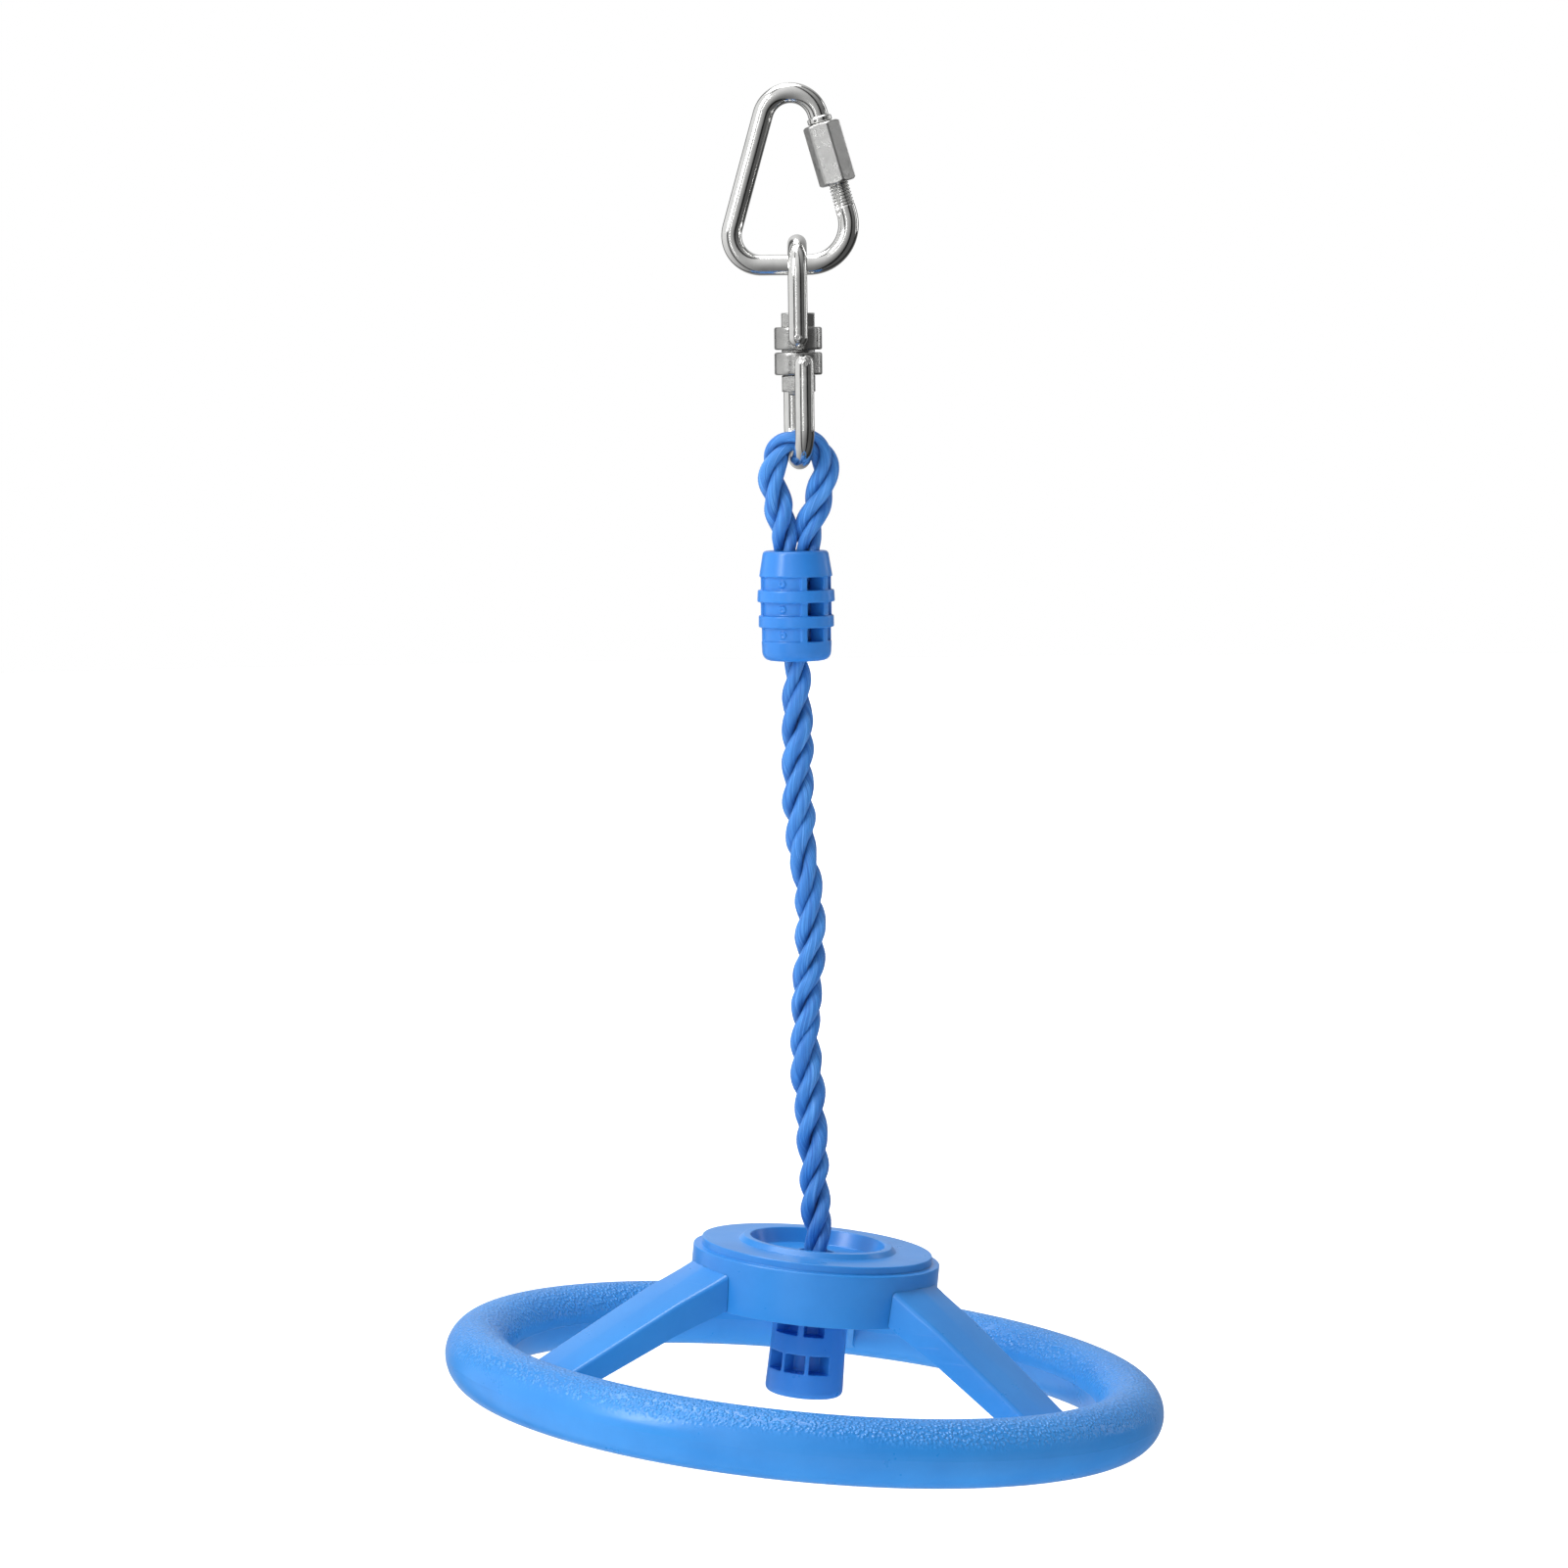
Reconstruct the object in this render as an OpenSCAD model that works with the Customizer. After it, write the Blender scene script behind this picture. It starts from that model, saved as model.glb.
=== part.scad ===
// Hand wheel on a rope: a wheel to hang from, moulded in one piece with three spokes,
// on a short rope that ends in two moulded ferrules, under a swivel and a triangular
// quick link. +Z is up. The origin is the inside of the link's top bow, where it hangs.
// Most of the chain lies in the plane Y = 0. The front of the object faces -Y.

/* [Quick link] */
// Diameter of the link's rod
link_rod_d = 8; // [7.6:0.1:8]
// Height of the link outside, from top bow to bar
link_h = 74.4; // [74:0.1:76]
// Lean of each side leg from the vertical, in degrees
link_lean = 15.8; // [15:0.1:17]
// Centreline radius of the top bow
link_bow_r = 11; // [10.5:0.1:12]
// Centreline radius of the bottom corner on the plain side
plain_corner_r = 11.5; // [11:0.5:13]
// Centreline radius of the bottom corner on the gate side
gate_corner_r = 15.5; // [15:0.5:16]
// Length of the sleeve nut that closes the gate
sleeve_len = 24; // [23:0.5:24.5]
// Width of the sleeve nut across its flats
sleeve_af = 13; // [12.5:0.1:14]
// Distance that the sleeve nut screws down to open the gate
sleeve_travel = 12; // [10:0.5:12]

/* [Swivel] */
// Diameter of the bails' rod
bail_rod_d = 7.5; // [7:0.1:7.6]
// Distance between the centrelines of a bail's legs
bail_w = 26.6; // [26.4:0.1:28]
// Diameter of the two collars
collar_d = 18.6; // [18:0.1:19]
// Height of each collar
collar_h = 8.8; // [8.6:0.1:9]
// Diameter of the swivel bolt
bolt_d = 8; // [7.5:0.1:8]
// Width of the bolt's head and of the nut across their flats
bolt_af = 13; // [12:0.1:13.2]
// Turn of the lower bail about the bolt at rest, in degrees
lower_bail_turn = 9.4; // [0:0.1:20]

/* [Rope and ferrules] */
// Diameter of the rope
rope_d = 12; // [11:0.5:12]
// Length of the upper ferrule
upper_ferrule_len = 43; // [42:0.5:44]
// Length of the lower ferrule
lower_ferrule_len = 52.4; // [50:0.1:54]

/* [Wheel] */
// Outside diameter of the wheel
wheel_d = 285; // [275:1:300]
// Diameter of the rim's tube
rim_d = 26; // [24:0.5:28]
// Height of the hub's top face over the middle of the rim
hub_rise = 53.9; // [52:0.1:56]
// Diameter of the hub
hub_d = 97.6; // [92:0.1:104]
// Tilt of the wheel at rest, towards +X, in degrees
wheel_tilt = 6; // [0:0.5:8]

/* [Hidden] */
$fn = 96;
// Facets around a bent rod, in OpenSCAD's own preview
rod_facets = 40;
// Overlap where two pieces of one solid join, so that they fuse
join = 0.2;
// The rod is this much thinner where it is straight than where it was bent
bend_swell = 0.04;
// Reach of a cutter past the face it cuts
past = 1;

steel = "silver";
plastic = [0.22, 0.53, 0.90];
rope_blue = [0.12, 0.40, 0.82];

// Quick link: the bow's centre is the centre of its arc, and distances s run down the
// gate-side leg's centreline from the end of the bow
link_r = link_rod_d / 2;
bow_z = link_r - link_bow_r;
bar_z = link_r - (link_h - link_rod_d);
leg_start_x = link_bow_r * cos(link_lean);
leg_start_z = bow_z + link_bow_r * sin(link_lean);
leg_foot_x = leg_start_x + (leg_start_z - bar_z) * tan(link_lean);
stub_collar_from = 1.4;
stub_collar_to = 3.9;
stub_collar_d = 9.7;
sleeve_from = 4.1;
gate_from = 8;
gate_to = 16;
sleeve_gap = 0.06;
sleeve_turn = 5.4;

// Swivel: one axis for the bolt, both collars and both bails
swivel_x = 2;
bail_r = bail_rod_d / 2;
upper_pin_z = -90.6;
lower_pin_z = -100.7;
bail_clearance = 0.3;
upper_bow_z = bar_z + link_r + bail_clearance + bail_r - bail_w / 2;
lower_bow_z = -138.1 + bail_w / 2;
pin_d = 5.8;
pin_hole_d = 6;
pin_tip_y = 5.2;
pin_hole_end_y = 5;
collar_flat_y = 9.1;
collar_chamfer = 0.7;
bolt_gap = 0.06;
head_h = 5.5;
nut_h = 6.5;
washer_d = 13;
upper_collar_z = -86.5;
washer_z = upper_collar_z - collar_h;
lower_collar_z = washer_z - 1;
washer_h = washer_z - lower_collar_z - 0.05;
nut_z = lower_collar_z - collar_h - 0.05;
bolt_end_z = nut_z - nut_h - 1.5;

// Rope: each row is a point of the centreline as x, z, and the radius there. The loop's
// rows run up one side, and the other side mirrors them about the middle's own x.
loop_side = [[4.3, -173.4, 4.1], [4.9, -168, 4.5], [5.9, -162, 5.2], [7.4, -156, 5.5],
             [9.2, -150, 5.5], [10.1, -144, 5.4], [9.9, -139, 5.3], [8.4, -134.5, 4.8],
             [5.2, -131.3, 4.2], [0, -130, 4]];
loop_top_x = 2.2;
loop_foot_x = 0.3;
rope_r = rope_d / 2;
upper_route = [[0, -216.4], [0, -226], [0, -242], [-0.3, -257], [-0.2, -272], [0.9, -288],
               [3.2, -303], [4.2, -314], [4.2, -322]];
bend_route = [[4.2, -322], [4.2, -325], [3.6, -331], [3.6, -334]];
lower_route = [[3.6, -334], [3.6, -337], [2, -350], [1.4, -365], [2.3, -381], [3.4, -396],
               [4, -411], [4.5, -427], [5.2, -439], [5.2, -449], [4.4, -457], [2.8, -472],
               [1, -489], [-0.1, -499]];

// Upper ferrule: rows of its outline as radius and depth below its top face
upper_ferrule_z = -173.4;
band_top = [10.2, 20, 29.9];
band_bottom = [15, 25.3, 35.2];
band_r = [[14.9, 15.2], [14.7, 14.7], [13.6, 13.3]];
groove_top = [10.2, 20, 29.9];
core_w = 16;
core_t = 9;
groove_r = 13.9;
panel_r = 13.2;
window_angles = [-55, -9, 125, 171];
window_width = 33;
panel_angles = [-122, 58];
panel_width = 82;

// Lower ferrule: heights are over the middle of the rim, along the wheel's axis
low_bottom_h = -5.5;
low_top_h = low_bottom_h + lower_ferrule_len;
low_bottom_r = 15.5;
low_top_r = 13.6;
low_windows = [[4.6, 11.9], [19.5, 26.5], [34, 40.5]];
low_window_angles = [[-148, -109.5, -70, 32, 70.5, 110], [-132, -83, 48, 97],
                     [-148, -109.5, -70, 32, 70.5, 110]];
low_window_width = 33;

// Wheel: the frame of these heights has its origin in the middle of the rim
wheel_x = -0.3;
wheel_z = -501.1;
rim_r = rim_d / 2;
ring_r = wheel_d / 2 - rim_r;
hub_r = hub_d / 2;
hub_wall = 3;
hub_skirt_h = hub_rise - 23.9;
step_w = 3.2;
step_h = 3.1;
cup_lip_r = 30.8;
cup_r = 27;
cup_floor_r = 25;
lip_h = 2;
cup_depth = 3.8;
floor_t = 3;
hole_r = 7;
hole_collar_r = 8.4;
hole_collar_h = 1.2;
spoke_angles = [87, 207, 327];
spoke_hub_w = 32;
spoke_rim_w = 28.4;
spoke_top_h = 45.2;
spoke_foot_h = 1;
spoke_low_hub_h = 31.5;
spoke_low_foot_h = -8;
spoke_wall = 3;
// Radii between which the spoke's heights and widths are given
spoke_from_r = 48;
spoke_to_r = 118;

// A rod along +Z from z0 to z1
module rod(d, z0, z1) {
    translate([0, 0, z0])
        cylinder(d = d, h = z1 - z0);
}

// Part of a round rod bent in the XZ plane about the origin, between two angles from +X
module bent_rod(d, bend_r, from, to) {
    rotate([90, 0, 0])
        rotate_extrude(angle = to - from, start = from)
            translate([bend_r, 0])
                circle(d = d, $fn = rod_facets);
}

// Moves its children into the gate-side leg's frame, whose +Z runs down the leg
module along_gate_leg() {
    translate([leg_start_x, 0, leg_start_z])
        rotate([0, 180 - link_lean, 0])
            children();
}

// Centre of a bottom corner's arc
function corner_x(r) = leg_foot_x - r * (tan(link_lean) + 1 / cos(link_lean));
function leg_len(r) = (leg_start_z - bar_z - r - r * sin(link_lean)) / cos(link_lean);

// One bottom corner, on the +X side
module link_corner(r) {
    translate([corner_x(r), 0, bar_z + r])
        bent_rod(link_rod_d, r, -90, link_lean);
}

module link_body() {
    gate_leg = leg_len(gate_corner_r);
    straight_d = link_rod_d - bend_swell;
    color(steel) {
        translate([0, 0, bow_z])
            bent_rod(link_rod_d, link_bow_r, link_lean, 180 - link_lean);
        mirror([1, 0, 0]) {
            along_gate_leg()
                rod(straight_d, -join, leg_len(plain_corner_r) + join);
            link_corner(plain_corner_r);
        }
        link_corner(gate_corner_r);
        along_gate_leg() {
            rod(straight_d, -join, gate_from);
            rod(stub_collar_d, stub_collar_from, stub_collar_to);
            rod(straight_d, gate_to, gate_leg + join);
        }
        translate([-corner_x(plain_corner_r) - join, 0, bar_z])
            rotate([0, 90, 0])
                cylinder(d = straight_d,
                         h = corner_x(plain_corner_r) + corner_x(gate_corner_r) + 2 * join);
    }
}

module link_sleeve() {
    color(steel)
        along_gate_leg()
            translate([0, 0, sleeve_from])
                difference() {
                    intersection() {
                        rotate([0, 0, sleeve_turn])
                            cylinder(d = sleeve_af / cos(30), h = sleeve_len, $fn = 6);
                        rotate_extrude()
                            sleeve_outline();
                    }
                    translate([0, 0, -past])
                        cylinder(d = link_rod_d + 2 * sleeve_gap, h = sleeve_len + 2 * past);
                }
}

// Outline that bevels the corners of the sleeve at both ends
module sleeve_outline() {
    corner_r = sleeve_af / cos(30) / 2 + 0.1;
    flat_r = sleeve_af / 2 - 0.2;
    bevel = 0.6;
    polygon([[0, 0], [flat_r, 0], [corner_r, bevel], [corner_r, sleeve_len - bevel],
             [flat_r, sleeve_len], [0, sleeve_len]]);
}

// A bail with its pins on the X axis's level and its bow at bow_z above them. Its bow
// lies in the YZ plane, and its pins are bent inwards.
module bail(bow_z) {
    translate([0, 0, bow_z])
        rotate([0, 0, 90])
            bent_rod(bail_rod_d, bail_w / 2, 0, 180);
    for (side = [-1, 1])
        translate([0, side * bail_w / 2, 0]) {
            rod(bail_rod_d - bend_swell, 0, bow_z + join);
            sphere(d = bail_rod_d);
            rotate([side * 90, 0, 0])
                cylinder(d = pin_d, h = bail_w / 2 - pin_tip_y);
        }
}

module upper_bail() {
    color(steel)
        translate([swivel_x, 0, upper_pin_z])
            bail(upper_bow_z - upper_pin_z);
}

module lower_bail() {
    color(steel)
        translate([swivel_x, 0, lower_pin_z])
            rotate([180, 0, lower_bail_turn])
                bail(lower_pin_z - lower_bow_z);
}

// A collar with its top at top_z, bored for the bolt, with a hole on each side for a pin
module collar(top_z, pin_z, bore_d) {
    r = collar_d / 2;
    c = collar_chamfer;
    difference() {
        translate([0, 0, top_z - collar_h])
            rotate_extrude()
                polygon([[0, 0], [r - c, 0], [r, c], [r, collar_h - c], [r - c, collar_h],
                         [0, collar_h]]);
        rod(bore_d, top_z - collar_h - past, top_z + past);
        for (side = [-1, 1]) {
            translate([0, side * (collar_flat_y + r), top_z - collar_h / 2])
                cube([3 * r, 2 * r, collar_h + 2 * past], center = true);
            translate([0, side * pin_hole_end_y, pin_z])
                rotate([-side * 90, 0, 0])
                    cylinder(d = pin_hole_d, h = r);
        }
    }
}

module upper_collar() {
    color(steel)
        translate([swivel_x, 0, 0])
            collar(upper_collar_z, upper_pin_z, bolt_d);
}

module lower_collar() {
    color(steel)
        translate([swivel_x, 0, 0])
            rotate([0, 0, lower_bail_turn])
                collar(lower_collar_z, lower_pin_z, bolt_d + 2 * bolt_gap);
}

// A hexagonal prism with bevelled corners, from z0 up
module hexagon(af, z0, h) {
    corner_r = af / cos(30) / 2;
    bevel = 0.5;
    intersection() {
        translate([0, 0, z0])
            rotate([0, 0, 30])
                cylinder(r = corner_r, h = h, $fn = 6);
        translate([0, 0, z0])
            rotate_extrude()
                polygon([[0, 0], [af / 2, 0], [corner_r + 0.1, bevel],
                         [corner_r + 0.1, h - bevel], [af / 2, h], [0, h]]);
    }
}

module swivel_bolt() {
    color(steel)
        translate([swivel_x, 0, 0]) {
            hexagon(bolt_af, upper_collar_z, head_h);
            rod(bolt_d, bolt_end_z, upper_collar_z + join);
        }
}

module swivel_washer() {
    color(steel)
        translate([swivel_x, 0, 0])
            difference() {
                rod(washer_d, washer_z - washer_h, washer_z);
                rod(bolt_d, washer_z - washer_h - past, washer_z + past);
            }
}

module swivel_nut() {
    color(steel)
        translate([swivel_x, 0, 0])
            difference() {
                hexagon(bolt_af, nut_z - nut_h, nut_h);
                rod(bolt_d, nut_z - nut_h - past, nut_z + past);
            }
}

// A tube along rows of x, z and radius in the plane Y = 0. Its ring at each row stands
// square to the line through the rows on both sides of it.
module tube(rows, sides = 10) {
    last = len(rows) - 1;
    rings = [for (i = [0 : last])
        let (a = rows[max(i - 1, 0)],
             b = rows[min(i + 1, last)],
             d = [b[0] - a[0], b[1] - a[1]] / norm([b[0] - a[0], b[1] - a[1]]))
        for (k = [0 : sides - 1])
            let (u = rows[i][2] * cos(360 * k / sides),
                 v = rows[i][2] * sin(360 * k / sides))
            [rows[i][0] - d[1] * u, v, rows[i][1] + d[0] * u]];
    skin = [for (i = [0 : last - 1])
        for (k = [0 : sides - 1])
            let (n = (k + 1) % sides)
            each [[i * sides + k, i * sides + n, (i + 1) * sides + n],
                  [i * sides + k, (i + 1) * sides + n, (i + 1) * sides + k]]];
    ends = [[for (k = [sides - 1 : -1 : 0]) k],
            [for (k = [0 : sides - 1]) last * sides + k]];
    polyhedron(points = rings, faces = concat(skin, ends));
}

// A route's points with the rope's own radius
function with_radius(route) = [for (p = route) [p[0], p[1], rope_r]];

// The loop's rows on one side, leaned from the ferrule's x to the bail's
function leaned(row, side) =
    let (share = (row[1] - loop_side[0][1]) / (loop_side[len(loop_side) - 1][1] - loop_side[0][1]))
    [loop_foot_x + (loop_top_x - loop_foot_x) * share + side * row[0], row[1], row[2]];

module rope_loop() {
    last = len(loop_side) - 1;
    left = [for (i = [0 : last]) leaned(loop_side[i], -1)];
    right = [for (i = [last - 1 : -1 : 0]) leaned(loop_side[i], 1)];
    color(rope_blue)
        tube(concat(left, right));
}

// The two strands side by side inside the upper ferrule
module core_outline() {
    for (side = [-1, 1])
        translate([side * (core_w - core_t) / 2, 0])
            circle(d = core_t);
    square([core_w - core_t, core_t], center = true);
}

module rope_core() {
    color(rope_blue)
        translate([0, 0, upper_ferrule_z - upper_ferrule_len])
            linear_extrude(upper_ferrule_len)
                core_outline();
}

module rope_upper() {
    color(rope_blue)
        tube(with_radius(upper_route));
}

module rope_bend() {
    color(rope_blue)
        tube(with_radius(bend_route));
}

module rope_lower() {
    color(rope_blue)
        tube(with_radius(lower_route));
}

// A ring sector between two radii, centred on an angle, for cutting windows and panels
module sector(r0, r1, z0, z1, angle, width) {
    translate([0, 0, z0])
        rotate_extrude(angle = width, start = angle - width / 2)
            translate([r0, 0])
                square([r1 - r0, z1 - z0]);
}

module upper_ferrule_outline() {
    len = upper_ferrule_len;
    polygon([[0, 0], [11.4, 0], [12.4, -0.4], [12.9, -1.4], [14.3, -band_top[0]],
             [groove_r, -band_top[0]], [groove_r, -band_bottom[0]],
             [band_r[0][0], -band_bottom[0]], [band_r[0][1], -band_top[1]],
             [groove_r, -band_top[1]], [groove_r, -band_bottom[1]],
             [band_r[1][0], -band_bottom[1]], [band_r[1][1], -band_top[2]],
             [groove_r - 0.3, -band_top[2]], [groove_r - 0.3, -band_bottom[2]],
             [band_r[2][0], -band_bottom[2]], [band_r[2][1], 3.4 - len],
             [12.4, 1.2 - len], [10.2, -len], [0, -len]]);
}

module upper_ferrule() {
    color(plastic)
        translate([0, 0, upper_ferrule_z])
            difference() {
                rotate_extrude()
                    upper_ferrule_outline();
                translate([0, 0, -upper_ferrule_len - past])
                    linear_extrude(upper_ferrule_len + 2 * past)
                        core_outline();
                for (row = [0 : 2]) {
                    z0 = -band_bottom[row];
                    z1 = -groove_top[row];
                    for (a = window_angles)
                        sector(3, 20, z0, z1, a, window_width);
                    for (a = panel_angles)
                        sector(panel_r, 20, z0, z1, a, panel_width);
                }
            }
}

// Moves its children into the wheel's own frame
module in_wheel() {
    translate([wheel_x, 0, wheel_z])
        rotate([0, wheel_tilt, 0])
            children();
}

module lower_ferrule() {
    color(plastic)
        in_wheel()
            difference() {
                rotate_extrude()
                    polygon([[0, low_bottom_h], [12.6, low_bottom_h],
                             [14.6, low_bottom_h + 0.7], [low_bottom_r, low_bottom_h + 2.6],
                             [low_top_r, low_top_h - 1], [low_top_r - 1, low_top_h],
                             [0, low_top_h]]);
                translate([0, 0, 1.5])
                    cylinder(r = rope_r, h = low_top_h);
                for (row = [0 : 2])
                    for (a = low_window_angles[row])
                        sector(rope_r - 1, 20, low_windows[row][0], low_windows[row][1], a,
                               low_window_width);
            }
}

module hub_outline() {
    floor_h = hub_rise - cup_depth;
    web_h = hub_rise - step_h - hub_wall;
    polygon([[hole_r, floor_h - floor_t], [hole_r, floor_h + hole_collar_h],
             [hole_collar_r, floor_h + hole_collar_h], [hole_collar_r + 0.4, floor_h],
             [cup_floor_r, floor_h], [cup_r, hub_rise + lip_h - 0.6],
             [cup_r + 0.7, hub_rise + lip_h], [cup_lip_r - 1.4, hub_rise + lip_h],
             [cup_lip_r, hub_rise], [hub_r - step_w - 0.5, hub_rise],
             [hub_r - step_w, hub_rise - 0.5], [hub_r - step_w, hub_rise - step_h],
             [hub_r - 0.5, hub_rise - step_h], [hub_r, hub_rise - step_h - 0.5],
             [hub_r, hub_skirt_h], [hub_r - hub_wall, hub_skirt_h],
             [hub_r - hub_wall, web_h], [cup_r + 3.5, web_h],
             [cup_r + 2, floor_h - floor_t]]);
}

module wheel_hub() {
    color(plastic)
        in_wheel()
            rotate_extrude()
                hub_outline();
}

// Height and half width of a spoke at a radius, on the straight line between its ends
function spoke_at(r, at_hub, at_rim) =
    at_hub + (at_rim - at_hub) * (r - spoke_from_r) / (spoke_to_r - spoke_from_r);

// A spoke before it is cut to meet the hub and the rim, less inset on its sides and top
module spoke_blank(inset) {
    r0 = hub_r - hub_wall - (inset > 0 ? past : 0);
    r1 = ring_r - 0.7 * rim_r;
    drop = inset > 0 ? past : 0;
    intersection() {
        rotate([90, 0, 0])
            linear_extrude(spoke_hub_w * 2, center = true)
                polygon([for (r = [r0, r1])
                             [r, spoke_at(r, spoke_top_h, spoke_foot_h) - inset * 1.2],
                         for (r = [r1, r0])
                             [r, spoke_at(r, spoke_low_hub_h, spoke_low_foot_h) - drop]]);
        translate([0, 0, -wheel_d / 2])
            linear_extrude(wheel_d)
                polygon([for (side = [-1, 1])
                             for (r = side < 0 ? [r0, r1] : [r1, r0])
                                 [r, side * (spoke_at(r, spoke_hub_w, spoke_rim_w) / 2 - inset)]]);
    }
}

module wheel_spokes() {
    color(plastic)
        in_wheel()
            for (a = spoke_angles)
                rotate([0, 0, a])
                    difference() {
                        spoke_blank(0);
                        spoke_blank(spoke_wall);
                        translate([0, 0, -wheel_d / 2])
                            cylinder(r = hub_r, h = wheel_d);
                        rim_solid();
                    }
}

module rim_solid() {
    rotate_extrude($fn = 180)
        translate([ring_r, 0])
            circle(r = rim_r, $fn = 64);
}

module wheel_rim() {
    color(plastic)
        in_wheel()
            rim_solid();
}

link_body();
link_sleeve();
upper_bail();
upper_collar();
swivel_bolt();
swivel_washer();
swivel_nut();
lower_collar();
lower_bail();
rope_loop();
rope_core();
upper_ferrule();
rope_upper();
rope_bend();
rope_lower();
lower_ferrule();
wheel_hub();
wheel_spokes();
wheel_rim();
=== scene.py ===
"""Looks for the hand wheel on its rope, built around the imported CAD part.

Lengths in this script are in millimetres until mesh() turns them into metres. The frame
is the part's own: the origin is the inside of the link's top bow, +Z is up, and the
front faces -Y.
"""

import math
import random

import bmesh
import bpy
from mathutils import Matrix, Vector


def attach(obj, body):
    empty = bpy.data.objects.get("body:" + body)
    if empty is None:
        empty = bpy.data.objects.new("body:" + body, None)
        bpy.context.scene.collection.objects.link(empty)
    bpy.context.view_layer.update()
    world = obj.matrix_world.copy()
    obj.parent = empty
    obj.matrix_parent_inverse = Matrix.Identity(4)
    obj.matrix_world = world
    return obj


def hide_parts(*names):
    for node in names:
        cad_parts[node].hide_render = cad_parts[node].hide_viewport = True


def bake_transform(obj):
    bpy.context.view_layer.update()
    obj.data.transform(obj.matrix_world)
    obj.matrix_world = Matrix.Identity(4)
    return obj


MM = 0.001

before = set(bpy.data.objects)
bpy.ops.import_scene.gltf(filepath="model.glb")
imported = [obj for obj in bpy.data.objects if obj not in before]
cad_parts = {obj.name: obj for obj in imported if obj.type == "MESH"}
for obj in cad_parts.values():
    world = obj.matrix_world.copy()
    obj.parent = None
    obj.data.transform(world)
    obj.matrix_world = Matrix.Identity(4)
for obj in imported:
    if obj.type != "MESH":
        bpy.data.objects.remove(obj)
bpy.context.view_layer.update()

scene = bpy.context.scene
scene.view_settings.view_transform = "Standard"
scene.view_settings.look = "None"


# ---------------------------------------------------------------- camera

def make_camera():
    data = bpy.data.cameras.new("camera")
    data.lens = 120.76
    data.sensor_width = 36
    data.clip_start, data.clip_end = 0.05, 50
    cam = bpy.data.objects.new("camera", data)
    right = Vector((0.99993, -0.00102, -0.01217))
    up = Vector((0.01222, 0.08384, 0.99641))
    back = right.cross(up)
    cam.matrix_world = Matrix.Translation(Vector((-5.6, -2053.9, -92.0)) * MM) @ Matrix(
        (right, up, back)).transposed().to_4x4()
    scene.collection.objects.link(cam)
    scene.camera = cam


make_camera()


# ---------------------------------------------------------------- mesh tools

def smoothstep(a, b, x):
    """0 below a, 1 above b, smooth between. a may be the larger."""
    t = min(1.0, max(0.0, (x - a) / (b - a)))
    return t * t * (3 - 2 * t)


def table(rows, x):
    """Straight-line look-up of x in rows of (x, value, ...), which rise in x."""
    if x <= rows[0][0]:
        return rows[0][1:]
    for a, b in zip(rows, rows[1:]):
        if x <= b[0]:
            t = (x - a[0]) / (b[0] - a[0])
            return tuple(p + (q - p) * t for p, q in zip(a[1:], b[1:]))
    return rows[-1][1:]


def mesh(name, points, faces, material, at=None, merge=True, **attributes):
    """An object from points in millimetres, moved by the matrix at, also in millimetres.
    merge joins points that meet. An attribute is (type, key, a value for each point)."""
    if at is not None:
        points = [at @ Vector(p) for p in points]
    data = bpy.data.meshes.new(name)
    data.from_pydata([tuple(Vector(p) * MM) for p in points], [], faces)
    for title, (kind, key, values) in attributes.items():
        data.attributes.new(title, kind, "POINT").data.foreach_set(key, values)
    data.materials.append(material)
    ob = bpy.data.objects.new(name, data)
    scene.collection.objects.link(ob)
    tool = bmesh.new()
    tool.from_mesh(data)
    if merge:
        bmesh.ops.remove_doubles(tool, verts=tool.verts, dist=1e-6)
    bmesh.ops.recalc_face_normals(tool, faces=tool.faces)
    tool.to_mesh(data)
    tool.free()
    data.polygons.foreach_set("use_smooth", [True] * len(data.polygons))
    return ob


def grid_faces(rows, columns, first=0, wrap_rows=False):
    """Quads of a grid of rows by columns whose columns close on themselves."""
    out = []
    for i in range(rows if wrap_rows else rows - 1):
        for j in range(columns):
            a = first + i * columns + j
            b = first + i * columns + (j + 1) % columns
            c = first + ((i + 1) % rows) * columns + (j + 1) % columns
            d = first + ((i + 1) % rows) * columns + j
            out.append((a, b, c, d))
    return out


def rounded(corners, closed=False, steps=5):
    """An outline of (x, y, corner radius) with its corners rounded."""
    out = []
    n = len(corners)
    for i, (x, y, r) in enumerate(corners):
        if r <= 0 or (not closed and i in (0, n - 1)):
            out.append((x, y))
            continue
        p = Vector((x, y))
        a = Vector(corners[i - 1][:2]) - p
        b = Vector(corners[(i + 1) % n][:2]) - p
        half = a.angle(b) / 2
        cut = min(r / math.tan(half), a.length * 0.48, b.length * 0.48)
        r = cut * math.tan(half)
        centre = p + (a.normalized() + b.normalized()).normalized() * (r / math.sin(half))
        start, end = p + a.normalized() * cut, p + b.normalized() * cut
        u, v = start - centre, end - centre
        turn = math.atan2(u.x * v.y - u.y * v.x, u.dot(v))
        for k in range(steps + 1):
            t = turn * k / steps
            q = Vector((u.x * math.cos(t) - u.y * math.sin(t),
                        u.x * math.sin(t) + u.y * math.cos(t)))
            out.append(tuple(centre + q))
    return out


def densify(outline, longest):
    """The outline with its long straights cut up, so that no step is over longest."""
    out = [outline[0]]
    for a, b in zip(outline, outline[1:]):
        n = max(1, math.ceil(math.dist(a, b) / longest))
        out += [tuple(p + (q - p) * k / n for p, q in zip(a, b)) for k in range(1, n + 1)]
    return out


def lathe(name, outline, sides, material, at=None, closed=False):
    """Turns an outline of (radius, height) about Z. A closed outline leaves a bore."""
    points, n = [], len(outline)
    for r, h in outline:
        for k in range(sides):
            a = math.tau * k / sides
            points.append((r * math.cos(a), r * math.sin(a), h))
    return mesh(name, points, grid_faces(n, sides, wrap_rows=closed), material, at=at)


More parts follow.
